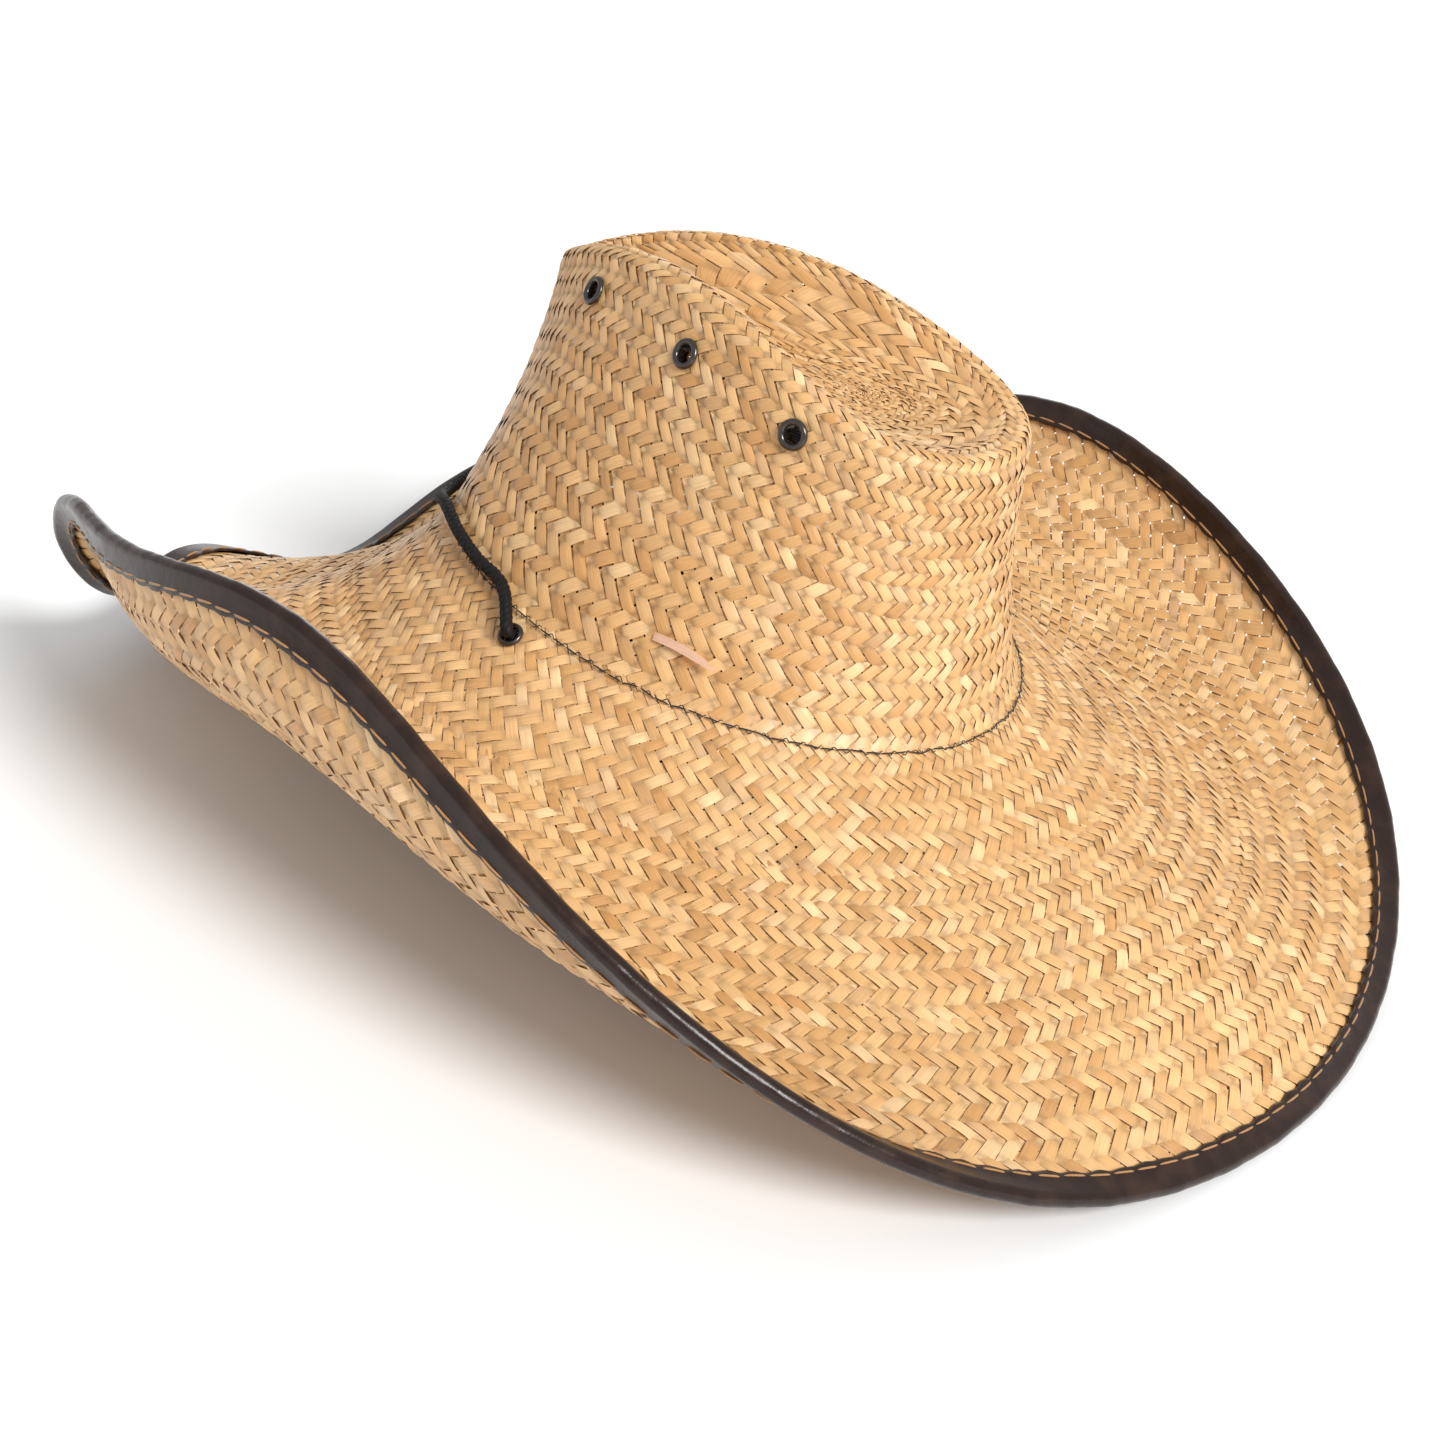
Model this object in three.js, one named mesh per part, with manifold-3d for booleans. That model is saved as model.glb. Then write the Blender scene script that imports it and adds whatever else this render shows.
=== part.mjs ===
import * as THREE from 'three';
import { ParametricGeometry } from 'three/addons/geometries/ParametricGeometry.js';
import { mergeVertices } from 'three/addons/utils/BufferGeometryUtils.js';
import Module from 'manifold-3d';

// Plaited straw cowboy hat. Millimetres, +Z up. The front (pinched end) points to -Y and the wearer's left is +X.
// phi runs round the hat: 0 at the front, 90 degrees at the wearer's left, 180 at the back.

// Crown base oval and how much higher its front lies than its back.
const BASE_HALF_WIDTH = 86;
const BASE_HALF_LENGTH = 105;
const BASE_RISE = 12.3;
const FRONT_DIP = 19;
const FRONT_DIP_REACH = 50;

// Brim width along the plaiting, side, front and back.
const BRIM_SIDE = 160.5;
const BRIM_FRONT = 138.5;
const BRIM_BACK = 159;

// Brim slope in radians, as cosine series in phi: where it leaves the crown, at its edge, and how late it curls.
const SLOPE_AT_CROWN = [-0.70, -0.35, -0.075, -0.055];
const SLOPE_AT_EDGE = [0.534, 0.14, -1.074, 0.242, 0.007, -0.138, -0.096, -0.044];
const CURL_DELAY = [1.936, -1.317, 0.222];
const CURL_DELAY_LEAST = 0.9;
const LEFT_CURL_EXTRA = 0.395;
const FRONT_LEFT_CURL_EXTRA = 0.395;

// The front left corner is pulled up to a tip, and the edge dips just in front of it. Places in degrees.
const TIP = { at: 59.5, reach: 19, slope: 0.53, delay: 0.55 };
const TIP_DIP = { at: 29, reach: 12, slope: -0.74 };

// Crown rim: a teardrop pinched towards the front, and its height as a cosine series.
const RIM_HALF_WIDTH = 69.5;
const RIM_HALF_LENGTH = 92.4;
const RIM_CENTRE_Y = 1.7;
const PINCH = 0.79;
const PINCH_REACH = 0.73;
const RIM_HEIGHT = [93.9, 5.1, -9.4, -2.9];
const RIM_BEND = 9;
const BASE_BEND = 6;
const WALL_BULGE = -3.3;

// The hollow pressed into the top.
const HOLLOW = new THREE.Vector3(-6, 34, 78);
const HOLLOW_SHARPNESS = 2.7;

const STRAW = 2.0;
const GAP = 0.3;

// Edge binding: a vinyl tape folded round the edge, with a wire in its bead.
const BEAD_REACH = 4.0;
const TAPE_DEPTH = 6.2;
const TAPE = 0.8;
const WIRE_RADIUS = 0.75;
const WIRE_FROM_EDGE = 1.75;
const THREAD_RADIUS = 0.3;
const SEAM_FROM_EDGE = 4.6;
const SEAM_GAP = 0.5;

const BAND_THICKNESS = 1.2;

const CORD_RADIUS = 2.1;
const CORD_SIDES = 8;
const VENT_HOLE = 2.8;
const VENT_FLANGE = 5.0;
const CORD_HOLE = 2.5;
const CORD_FLANGE = 4.3;
const EYELET_WALL = 0.5;
const EYELET_SEGMENTS = 12;

// Eyelet places: phi in degrees and height up the wall as a share of it; the cord's by distance from the crown.
const VENTS = [['front', 52.5, 0.82], ['mid', 87.5, 0.83], ['rear', 118, 0.85]];
const CORD_EYELET_PHI = 82;
const CORD_EYELET_OUT = 9;

// The hat stands on the front and back of its brim. Its plane of symmetry is at x = MIDDLE_X.
const MIDDLE_X = 11.99;
const STAND_TILT = -0.00654;
const STAND_SHIFT = new THREE.Vector3(MIDDLE_X, -19.19, 86.42);
const FOOT_FLAT = 0.55;

const AROUND = 60;
const ROWS = { top: 5, rimBend: 3, wall: 4, baseBend: 3, brim: 9 };
const BRIM_STEPS = 24;

const UP = new THREE.Vector3(0, 0, 1);
const radians = (degrees) => THREE.MathUtils.degToRad(degrees);
const vec = (x, y, z) => new THREE.Vector3(x, y, z);

const series = (coefficients, phi) =>
  coefficients.reduce((sum, c, k) => sum + c * Math.cos(k * phi), 0);

const smoothFloor = (value, least) => {
  const d = value - least;
  return least + (d + Math.sqrt(d * d + 0.04)) / 2;
};

// 1 at a place round the hat, fading to nothing within about twice its reach.
const near = (phi, { at, reach }) => {
  const turn = THREE.MathUtils.radToDeg(phi) - at;
  const away = THREE.MathUtils.euclideanModulo(turn + 180, 360) - 180;
  return Math.exp(-((away / reach) ** 2));
};

const bezier = (a, b, c, t) =>
  vec(0, 0, 0)
    .addScaledVector(a, (1 - t) * (1 - t))
    .addScaledVector(b, 2 * t * (1 - t))
    .addScaledVector(c, t * t);

// ---------------------------------------------------------------- the hat's upper surface

// How far the foot of the crown dips below its plain tilt, across the front.
const frontDip = (phi) =>
  FRONT_DIP * THREE.MathUtils.smoothstep(Math.cos(phi), Math.cos(radians(FRONT_DIP_REACH)), 1);

const basePoint = (phi) => {
  const z = BASE_RISE * Math.cos(phi) - frontDip(phi);
  return vec(BASE_HALF_WIDTH * Math.sin(phi), -BASE_HALF_LENGTH * Math.cos(phi), z);
};

const rimPoint = (phi) => {
  const front = (1 + Math.cos(phi)) / 2;
  const width = RIM_HALF_WIDTH * (1 - PINCH * front ** PINCH_REACH);
  return vec(width * Math.sin(phi), RIM_CENTRE_Y - RIM_HALF_LENGTH * Math.cos(phi), series(RIM_HEIGHT, phi));
};

// The brim's line at one phi, from the crown outwards: it starts at one slope and bends to the other.
const brimLine = (phi, width = null) => {
  const s = Math.sin(phi);
  const c = Math.cos(phi);
  const along = (BRIM_FRONT + BRIM_BACK) / 2 + ((BRIM_FRONT - BRIM_BACK) / 2) * c;
  const out = vec(BRIM_SIDE * s, -along * c, 0);
  const full = out.length();
  out.normalize();
  const slope0 = series(SLOPE_AT_CROWN, phi);
  const leftCurl = LEFT_CURL_EXTRA * s + FRONT_LEFT_CURL_EXTRA * s * c;
  const tipCurl = TIP.slope * near(phi, TIP) + TIP_DIP.slope * near(phi, TIP_DIP);
  const slope1 = series(SLOPE_AT_EDGE, phi) + leftCurl + tipCurl;
  const delay = smoothFloor(series(CURL_DELAY, phi), CURL_DELAY_LEAST) + TIP.delay * near(phi, TIP);
  const slope = (t) => slope0 + (slope1 - slope0) * t ** delay;
  const end = width === null ? full - BEAD_REACH : width;
  const points = [basePoint(phi)];
  const step = end / BRIM_STEPS;
  const regained = (i) => frontDip(phi) * (1 - (1 - (i * step) / full) ** 2);
  for (let i = 0; i < BRIM_STEPS; i += 1) {
    const a = slope((i * step) / full);
    const b = slope(((i + 1) * step) / full);
    const p = points[i].clone();
    p.addScaledVector(out, (step * (Math.cos(a) + Math.cos(b))) / 2);
    p.addScaledVector(UP, (step * (Math.sin(a) + Math.sin(b))) / 2 + regained(i + 1) - regained(i));
    points.push(p);
  }
  return points;
};

const alongLine = (points, t) => {
  const x = THREE.MathUtils.clamp(t, 0, 1) * (points.length - 1);
  const i = Math.min(Math.floor(x), points.length - 2);
  return points[i].clone().lerp(points[i + 1], x - i);
};

const towards = (from, to, distance) =>
  from.clone().addScaledVector(to.clone().sub(from).normalize(), distance);

const wallPoint = (phi, v) => {
  const p = basePoint(phi).lerp(rimPoint(phi), v);
  const out = vec(Math.sin(phi), -Math.cos(phi), 0);
  return p.addScaledVector(out, WALL_BULGE * Math.sin(Math.PI * v));
};

const topPoint = (phi, w) => {
  const inner = towards(rimPoint(phi), vec(HOLLOW.x, HOLLOW.y, rimPoint(phi).z), RIM_BEND);
  inner.z -= 0.15 * RIM_BEND;
  const p = HOLLOW.clone().lerp(inner, w);
  p.z = HOLLOW.z + (inner.z - HOLLOW.z) * w ** HOLLOW_SHARPNESS;
  return p;
};

// The rounded corner between the wall (t = 0) and the brim (t = 1).
const cornerPoint = (phi, t) => {
  const base = basePoint(phi);
  const wall = wallPoint(phi, BASE_BEND / rimPoint(phi).distanceTo(base));
  return bezier(wall, base, brimLine(phi, BASE_BEND)[BRIM_STEPS], t);
};

// One line from the middle of the hollow, over the rim, down the wall and out along the brim.
const hatLine = (phi) => {
  const rim = rimPoint(phi);
  const base = basePoint(phi);
  const height = rim.distanceTo(base);
  const upper = 1 - RIM_BEND / height;
  const lower = BASE_BEND / height;
  const brim = brimLine(phi);
  const start = BASE_BEND / (brim.length - 1) / brim[0].distanceTo(brim[1]);
  const line = [];
  for (let i = 0; i < ROWS.top; i += 1) line.push(topPoint(phi, i / ROWS.top));
  for (let i = 0; i < ROWS.rimBend; i += 1) {
    line.push(bezier(topPoint(phi, 1), rim, wallPoint(phi, upper), i / ROWS.rimBend));
  }
  for (let i = 0; i < ROWS.wall; i += 1) {
    line.push(wallPoint(phi, THREE.MathUtils.lerp(upper, lower, i / ROWS.wall)));
  }
  for (let i = 0; i < ROWS.baseBend; i += 1) {
    line.push(bezier(wallPoint(phi, lower), base, alongLine(brim, start), i / ROWS.baseBend));
  }
  const tapeStart = 1 - TAPE_DEPTH / (brim.length - 1) / brim[0].distanceTo(brim[1]);
  for (let i = 0; i < ROWS.brim; i += 1) {
    line.push(alongLine(brim, THREE.MathUtils.lerp(start, tapeStart, i / (ROWS.brim - 1))));
  }
  line.push(brim[BRIM_STEPS].clone());
  return line;
};

const LINES = Array.from({ length: AROUND }, (_, i) => hatLine((2 * Math.PI * i) / AROUND));
const LAST = LINES[0].length - 1;

const lineAt = (i) => LINES[(i + AROUND) % AROUND];

// Outward normal of the upper surface at grid place (i round, j along).
const gridNormal = (i, j) => {
  if (j === 0) return UP.clone();
  const along = lineAt(i)[Math.min(j + 1, LAST)].clone().sub(lineAt(i)[j - 1]);
  const round = lineAt(i + 1)[j].clone().sub(lineAt(i - 1)[j]);
  return along.cross(round).normalize();
};

// A surface point with its frame: outward normal n, direction e away from the hollow, direction r round the hat.
const frameAt = (place, phi) => {
  const h = 0.004;
  const p = place(phi, 0);
  const e = place(phi, 1).sub(place(phi, -1)).normalize();
  const r = place(phi + h, 0).sub(place(phi - h, 0)).normalize();
  const n = e.clone().cross(r).normalize();
  return { p, n, e, r };
};

const wallFrame = (phi, v) => frameAt((f, step) => wallPoint(f, v - 0.01 * step), phi);
const brimFrame = (phi, out) => frameAt((f, step) => brimLine(f, out + step)[BRIM_STEPS], phi);
const cornerFrame = (phi) => frameAt((f, step) => cornerPoint(f, 0.4 + 0.05 * step), phi);

// ---------------------------------------------------------------- solid builders

// A closed ring all the way round, its section given as points on the upper surface's own grid: place(i, k) is
// point k of the section at grid place i. The strips that start at the points in facing lie against the straw, and
// split their four-sided cells along the same diagonal as it, so that the gap between them stays even.
const ring = (count, place, facing = []) => {
  const fill = (u, v, target) => {
    const i = Math.round((1 - u) * AROUND) % AROUND;
    target.copy(place(i, Math.round(v * count) % count));
  };
  const geometry = new ParametricGeometry(fill, AROUND, count);
  const at = (k, i) => k * (AROUND + 1) + i;
  const index = [];
  for (let k = 0; k < count; k += 1) {
    for (let i = 0; i < AROUND; i += 1) {
      const [a, b, c, d] = [at(k, i), at(k, i + 1), at(k + 1, i + 1), at(k + 1, i)];
      if (facing.includes(k)) index.push(a, b, c, a, c, d);
      else index.push(a, b, d, b, c, d);
    }
  }
  geometry.setIndex(index);
  return geometry;
};

// A point near the brim's edge: e outwards from the straw's edge (not past the tape's depth inwards), n above it.
const edgePoint = (i, e, n) => {
  const share = THREE.MathUtils.clamp(-e / TAPE_DEPTH, 0, 1);
  const line = lineAt(i);
  const p = line[LAST].clone().lerp(line[LAST - 1], share);
  const normal = gridNormal(i, LAST).lerp(gridNormal(i, LAST - 1), share);
  const out = line[LAST].clone().sub(line[LAST - 1]).normalize();
  return p.addScaledVector(out, Math.max(e, 0)).addScaledVector(normal, n);
};

const edgeRing = (outline, facing) => ring(outline.length, (i, k) => edgePoint(i, ...outline[k]), facing);

const circleOutline = (radius, sides, e = 0, n = 0) =>
  Array.from({ length: sides }, (_, i) => {
    const a = (-2 * Math.PI * i) / sides;
    return [e + radius * Math.cos(a), n + radius * Math.sin(a)];
  });

const tube = (points, radius, sides, steps) => {
  const outline = new THREE.Shape(
    Array.from({ length: sides }, (_, i) => {
      const a = (2 * Math.PI * (i + 0.5)) / sides;
      return new THREE.Vector2(radius * Math.cos(a), radius * Math.sin(a));
    }),
  );
  return new THREE.ExtrudeGeometry(outline, { steps, extrudePath: new THREE.CatmullRomCurve3(points) });
};

const lathe = (profile, segments) => {
  const closed = [...profile, profile[0]].reverse().map(([r, z]) => new THREE.Vector2(r, z));
  return new THREE.LatheGeometry(closed, segments).rotateX(Math.PI / 2);
};

// Moves a shape built about the origin with its axis along +Z into a surface frame.
const seat = (geometry, { p, n, e }) => {
  const side = n.clone().cross(e).normalize();
  const basis = new THREE.Matrix4().makeBasis(side.clone().cross(n).normalize(), side, n).setPosition(p);
  return geometry.applyMatrix4(basis);
};

const wasm = await Module();
wasm.setup();

const toManifold = (geometry) => {
  const bare = new THREE.BufferGeometry();
  const flat = geometry.index ? geometry.toNonIndexed() : geometry;
  bare.setAttribute('position', flat.getAttribute('position'));
  const merged = mergeVertices(bare, 1e-3);
  return new wasm.Manifold(
    new wasm.Mesh({
      numProp: 3,
      vertProperties: merged.attributes.position.array,
      triVerts: new Uint32Array(merged.index.array),
    }),
  );
};

const fromManifold = (solid) => {
  const mesh = solid.getMesh();
  const geometry = new THREE.BufferGeometry();
  geometry.setAttribute('position', new THREE.BufferAttribute(mesh.vertProperties, 3));
  geometry.setIndex(new THREE.BufferAttribute(mesh.triVerts, 1));
  return geometry;
};

const cut = (geometry, tools) =>
  fromManifold(tools.reduce((solid, tool) => solid.subtract(toManifold(tool)), toManifold(geometry)));

// ---------------------------------------------------------------- straw body

const bodyShell = () => {
  const rows = 2 * LAST + 1;
  const place = (u, v, target) => {
    const i = Math.round(u * AROUND) % AROUND;
    const k = Math.round(v * rows);
    const inner = k > LAST;
    const j = inner ? rows - k : k;
    target.copy(lineAt(i)[j]);
    if (inner) target.addScaledVector(gridNormal(i, j), -STRAW);
  };
  return new ParametricGeometry((u, v, t) => place(1 - u, v, t), AROUND, rows);
};

const ventFrames = [];
for (const [name, degrees, share] of VENTS) {
  for (const [side, sign] of [['left', 1], ['right', -1]]) {
    ventFrames.push({ name: `${side}_${name}`, frame: wallFrame(sign * radians(degrees), share) });
  }
}
const cordFrames = [['left', 1], ['right', -1]].map(([side, sign]) => ({
  name: `cord_${side}`,
  frame: brimFrame(sign * radians(CORD_EYELET_PHI), CORD_EYELET_OUT),
}));

const drill = (frame, radius) =>
  seat(new THREE.CylinderGeometry(radius, radius, 12, EYELET_SEGMENTS).rotateX(Math.PI / 2), frame);

const strawBody = () =>
  cut(bodyShell(), [
    ...ventFrames.map(({ frame }) => drill(frame, VENT_HOLE + EYELET_WALL + GAP)),
    ...cordFrames.map(({ frame }) => drill(frame, CORD_HOLE + EYELET_WALL + GAP)),
  ]);

// A strip end that was left long and stands off the foot of the wall.
const looseEnd = () => {
  const strip = new THREE.Shape();
  strip.moveTo(-11, -1.3);
  strip.lineTo(10, -1.6);
  strip.lineTo(12, 0.4);
  strip.lineTo(9, 1.5);
  strip.lineTo(-11, 1.2);
  strip.closePath();
  const geometry = new THREE.ExtrudeGeometry(strip, { depth: 0.4, bevelEnabled: false });
  const frame = wallFrame(radians(112), 0.15);
  frame.p.addScaledVector(frame.n, 1.5);
  const down = frame.r.clone().addScaledVector(frame.e, 0.12).normalize();
  return seat(geometry, { p: frame.p, n: frame.n, e: down });
};

// ---------------------------------------------------------------- edge binding, wire and seams

const underside = -STRAW;

const bindingOutline = () => {
  const over = GAP + TAPE;
  const under = underside - GAP - TAPE;
  return [
    [-TAPE_DEPTH, over],
    [0, over],
    [1.7, over + 0.5],
    [3.5, 0.5],
    [BEAD_REACH, underside / 2],
    [3.5, underside - 0.5],
    [1.7, under - 0.5],
    [0, under],
    [-TAPE_DEPTH, under],
    [-TAPE_DEPTH, underside - GAP],
    [0.2, underside - GAP],
    [1.75, underside - 0.45],
    [3.0, underside / 2],
    [1.75, 0.45],
    [0.2, GAP],
    [-TAPE_DEPTH, GAP],
  ];
};

const lowestOf = (geometry) => {
  geometry.computeBoundingBox();
  return geometry.boundingBox.min.z;
};

const binding = () => {
  const whole = edgeRing(bindingOutline(), [9, 14]);
  const floor = new THREE.BoxGeometry(600, 600, 50);
  floor.translate(0, 0, lowestOf(stand(whole.clone())) + FOOT_FLAT - 25);
  return cut(stand(whole), [floor]);
};

const wire = () => edgeRing(circleOutline(WIRE_RADIUS, 6, WIRE_FROM_EDGE, underside / 2));

const seamOver = () =>
  edgeRing(circleOutline(THREAD_RADIUS, 4, -SEAM_FROM_EDGE, GAP + TAPE + SEAM_GAP + THREAD_RADIUS));

const seamUnder = () =>
  edgeRing(circleOutline(THREAD_RADIUS, 4, -SEAM_FROM_EDGE, underside - GAP - TAPE - SEAM_GAP - THREAD_RADIUS));

// ---------------------------------------------------------------- sweatband and its seam

const WALL_FOOT_ROW = ROWS.top + ROWS.rimBend + ROWS.wall;

const sweatband = () => {
  const rows = [WALL_FOOT_ROW - 2, WALL_FOOT_ROW - 1, WALL_FOOT_ROW];
  const outer = -STRAW - 0.4;
  const inner = outer - BAND_THICKNESS;
  const section = [...rows.map((j) => [j, outer]), ...[...rows].reverse().map((j) => [j, inner])];
  return ring(section.length, (i, k) => {
    const [j, depth] = section[k];
    return lineAt(i)[j].clone().addScaledVector(gridNormal(i, j), depth);
  }, [0, 1]);
};

const crownSeam = () => {
  const j = WALL_FOOT_ROW + 1;
  const outline = circleOutline(THREAD_RADIUS, 4, 0, GAP + THREAD_RADIUS);
  return ring(outline.length, (i, k) => {
    const e = lineAt(i)[j + 1].clone().sub(lineAt(i)[j - 1]).normalize();
    return lineAt(i)[j].clone().addScaledVector(e, outline[k][0]).addScaledVector(gridNormal(i, j), outline[k][1]);
  });
};

// ---------------------------------------------------------------- eyelets and washers

const eyelet = (hole, flange) => {
  const barrel = hole + EYELET_WALL;
  return lathe(
    [
      [hole, 1.0],
      [hole + 0.5, 1.4],
      [flange - 0.7, 1.4],
      [flange, 0.9],
      [flange, 2 * GAP],
      [barrel, 2 * GAP],
      [barrel, -3.5],
      [barrel + 0.8, -3.5],
      [barrel + 0.8, -4.0],
      [hole, -4.0],
    ],
    EYELET_SEGMENTS,
  );
};

const washer = (hole, flange) => {
  const inner = hole + EYELET_WALL + GAP;
  return lathe([[inner, -2.7], [flange, -2.7], [flange, -3.2], [inner, -3.2]], EYELET_SEGMENTS);
};

// ---------------------------------------------------------------- stand the hat on its brim

const STAND = new THREE.Matrix4()
  .makeTranslation(STAND_SHIFT.x, STAND_SHIFT.y, STAND_SHIFT.z)
  .multiply(new THREE.Matrix4().makeRotationX(STAND_TILT));
const stand = (geometry) => geometry.applyMatrix4(STAND);
const standPoint = (p) => p.clone().applyMatrix4(STAND);

// ---------------------------------------------------------------- cord

const SLIDE_X = 4.0;
const LACE_Z = 3.0;
const KNOT_Y = -58;

// Round the front of the crown, lying in the corner between wall and brim.
const cordFront = () => {
  const clear = CORD_RADIUS + 1.2;
  const points = [];
  const reach = CORD_EYELET_PHI - 7;
  for (let k = 0; k <= 16; k += 1) {
    const phi = radians(THREE.MathUtils.lerp(reach, -reach, k / 16));
    const corner = cornerFrame(phi);
    points.push(corner.p.addScaledVector(corner.n, clear));
  }
  const [left, right] = cordFrames.map(({ frame }) => frame);
  const mouth = ({ p, n }, height) => p.clone().addScaledVector(n, height);
  const path = [mouth(left, 1.9), mouth(left, 4.2), ...points, mouth(right, 4.2), mouth(right, 1.9)];
  return tube(path, CORD_RADIUS, CORD_SIDES, 34);
};

// Below the eyelet the cord drops to the table, lies in a bow under the crown and runs through the slide to the knot.
const cordDrop = (sign, frame) => {
  const p = standPoint(frame.p);
  const n = frame.n.clone().transformDirection(STAND);
  const through = (d) => p.clone().addScaledVector(n, d);
  const at = (x, y, z) => vec(MIDDLE_X + sign * x, y, z);
  const lie = CORD_RADIUS + 0.7;
  const path = [
    through(1.5),
    through(-2),
    through(-6),
    at(76, p.y - 1, p.z - 16),
    at(73.5, p.y, p.z - 30),
    at(72, p.y + 1, 34),
    at(71, p.y + 3, 18),
    at(69, p.y + 8, 7),
    at(67, p.y + 18, lie),
    at(66, p.y + 32, lie),
    at(63, p.y + 50, lie),
    at(56, p.y + 68, lie),
    at(44, p.y + 83, lie),
    at(29, p.y + 91, lie),
    at(15, p.y + 90, lie),
    at(6.5, p.y + 81, LACE_Z),
    at(SLIDE_X, p.y + 67, LACE_Z),
    at(SLIDE_X, 12, LACE_Z),
    at(SLIDE_X, -10, LACE_Z),
    at(SLIDE_X, -35, LACE_Z),
    at(SLIDE_X, KNOT_Y + 7.3, LACE_Z),
  ];
  return tube(path, CORD_RADIUS, CORD_SIDES, 44);
};

const cordSlide = () => {
  const w = 9;
  const h = 9;
  const round = 3;
  const outline = new THREE.Shape();
  outline.moveTo(-w + round, 0);
  outline.lineTo(w - round, 0);
  outline.absarc(w - round, round, round, -Math.PI / 2, 0);
  outline.absarc(w - round, h - round, round, 0, Math.PI / 2);
  outline.absarc(-w + round, h - round, round, Math.PI / 2, Math.PI);
  outline.absarc(-w + round, round, round, Math.PI, 1.5 * Math.PI);
  for (const sign of [-1, 1]) {
    outline.holes.push(new THREE.Path().absarc(sign * SLIDE_X, LACE_Z, CORD_RADIUS + 0.4, 0, 2 * Math.PI, true));
  }
  const geometry = new THREE.ExtrudeGeometry(outline, { depth: 14, bevelEnabled: false, curveSegments: 5 });
  return geometry.rotateX(Math.PI / 2).translate(MIDDLE_X, 7, 0);
};

const cordKnot = () =>
  new THREE.SphereGeometry(1, 12, 8).rotateX(Math.PI / 2).scale(9, 7, 5.5).translate(MIDDLE_X, KNOT_Y, 5.6);

// ---------------------------------------------------------------- assembly

const part = new THREE.Group();
part.name = 'cowboy_hat';
const add = (name, geometry, color) => {
  const mesh = new THREE.Mesh(geometry, new THREE.MeshStandardMaterial({ color }));
  mesh.name = name;
  part.add(mesh);
};

const STRAW_COLOR = '#d9b27c';
const BINDING_COLOR = '#3a2418';
const METAL_COLOR = '#2b2b2d';
const CORD_COLOR = '#111111';

add('straw_body', stand(strawBody()), STRAW_COLOR);
add('loose_straw_end', stand(looseEnd()), '#d8a488');
add('brim_binding', binding(), BINDING_COLOR);
add('brim_wire', stand(wire()), '#8d8d90');
add('binding_stitch_top', stand(seamOver()), '#a8703c');
add('binding_stitch_under', stand(seamUnder()), '#a8703c');
add('sweatband', stand(sweatband()), '#1f1a17');
add('crown_stitch', stand(crownSeam()), '#1a1712');
for (const { name, frame } of ventFrames) {
  add(`eyelet_${name}`, stand(seat(eyelet(VENT_HOLE, VENT_FLANGE), frame)), METAL_COLOR);
  add(`washer_${name}`, stand(seat(washer(VENT_HOLE, VENT_FLANGE), frame)), METAL_COLOR);
}
for (const { name, frame } of cordFrames) {
  add(`eyelet_${name}`, stand(seat(eyelet(CORD_HOLE, CORD_FLANGE), frame)), METAL_COLOR);
  add(`washer_${name}`, stand(seat(washer(CORD_HOLE, CORD_FLANGE), frame)), METAL_COLOR);
}
add('cord_front', stand(cordFront()), CORD_COLOR);
add('cord_left', cordDrop(1, cordFrames[0].frame), CORD_COLOR);
add('cord_right', cordDrop(-1, cordFrames[1].frame), CORD_COLOR);
add('cord_slide', cordSlide(), '#3b2a1c');
add('cord_knot', cordKnot(), CORD_COLOR);

export default part;
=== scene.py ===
"""A plaited straw cowboy hat, standing on the front and back of its brim, in a plain pale studio."""
import math

import bmesh
import bpy
import numpy as np
from mathutils import Matrix, Vector


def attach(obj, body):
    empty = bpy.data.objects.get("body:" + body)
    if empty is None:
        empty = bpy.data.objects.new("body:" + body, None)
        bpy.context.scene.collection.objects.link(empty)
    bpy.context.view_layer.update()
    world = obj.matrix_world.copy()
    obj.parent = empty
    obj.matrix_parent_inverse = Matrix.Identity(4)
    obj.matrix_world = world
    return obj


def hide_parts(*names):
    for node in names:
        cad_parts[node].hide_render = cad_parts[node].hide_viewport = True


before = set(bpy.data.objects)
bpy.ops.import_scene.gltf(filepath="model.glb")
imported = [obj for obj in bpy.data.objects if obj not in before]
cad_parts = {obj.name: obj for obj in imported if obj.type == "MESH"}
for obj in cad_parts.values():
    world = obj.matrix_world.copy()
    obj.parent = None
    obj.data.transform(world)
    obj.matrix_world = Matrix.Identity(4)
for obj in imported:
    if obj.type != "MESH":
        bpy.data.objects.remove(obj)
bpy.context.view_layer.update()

MM = 0.001
TAU = 2 * math.pi
rng = np.random.default_rng(7)

# ---- the hat's driving dimensions, as in the CAD part: millimetres, before it is stood on its brim.
# phi runs round the hat: 0 at the front, a quarter turn at the wearer's left.
BASE_HALF_WIDTH, BASE_HALF_LENGTH, BASE_RISE = 86, 105, 12.3
FRONT_DIP, FRONT_DIP_REACH = 19, 50
BRIM_SIDE, BRIM_FRONT, BRIM_BACK = 160.5, 138.5, 159
BRIM_STEPS = 120
SLOPE_AT_CROWN = (-0.70, -0.35, -0.075, -0.055)
SLOPE_AT_EDGE = (0.534, 0.14, -1.074, 0.242, 0.007, -0.138, -0.096, -0.044)
CURL_DELAY = (1.936, -1.317, 0.222)
CURL_DELAY_LEAST, CURL_DELAY_ROUNDING = 0.9, 0.04
LEFT_CURL_EXTRA, FRONT_LEFT_CURL_EXTRA = 0.395, 0.395
TIP_AT, TIP_REACH, TIP_SLOPE, TIP_DELAY = 59.5, 19, 0.53, 0.55
DIP_AT, DIP_REACH, DIP_SLOPE = 29, 12, -0.74
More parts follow.
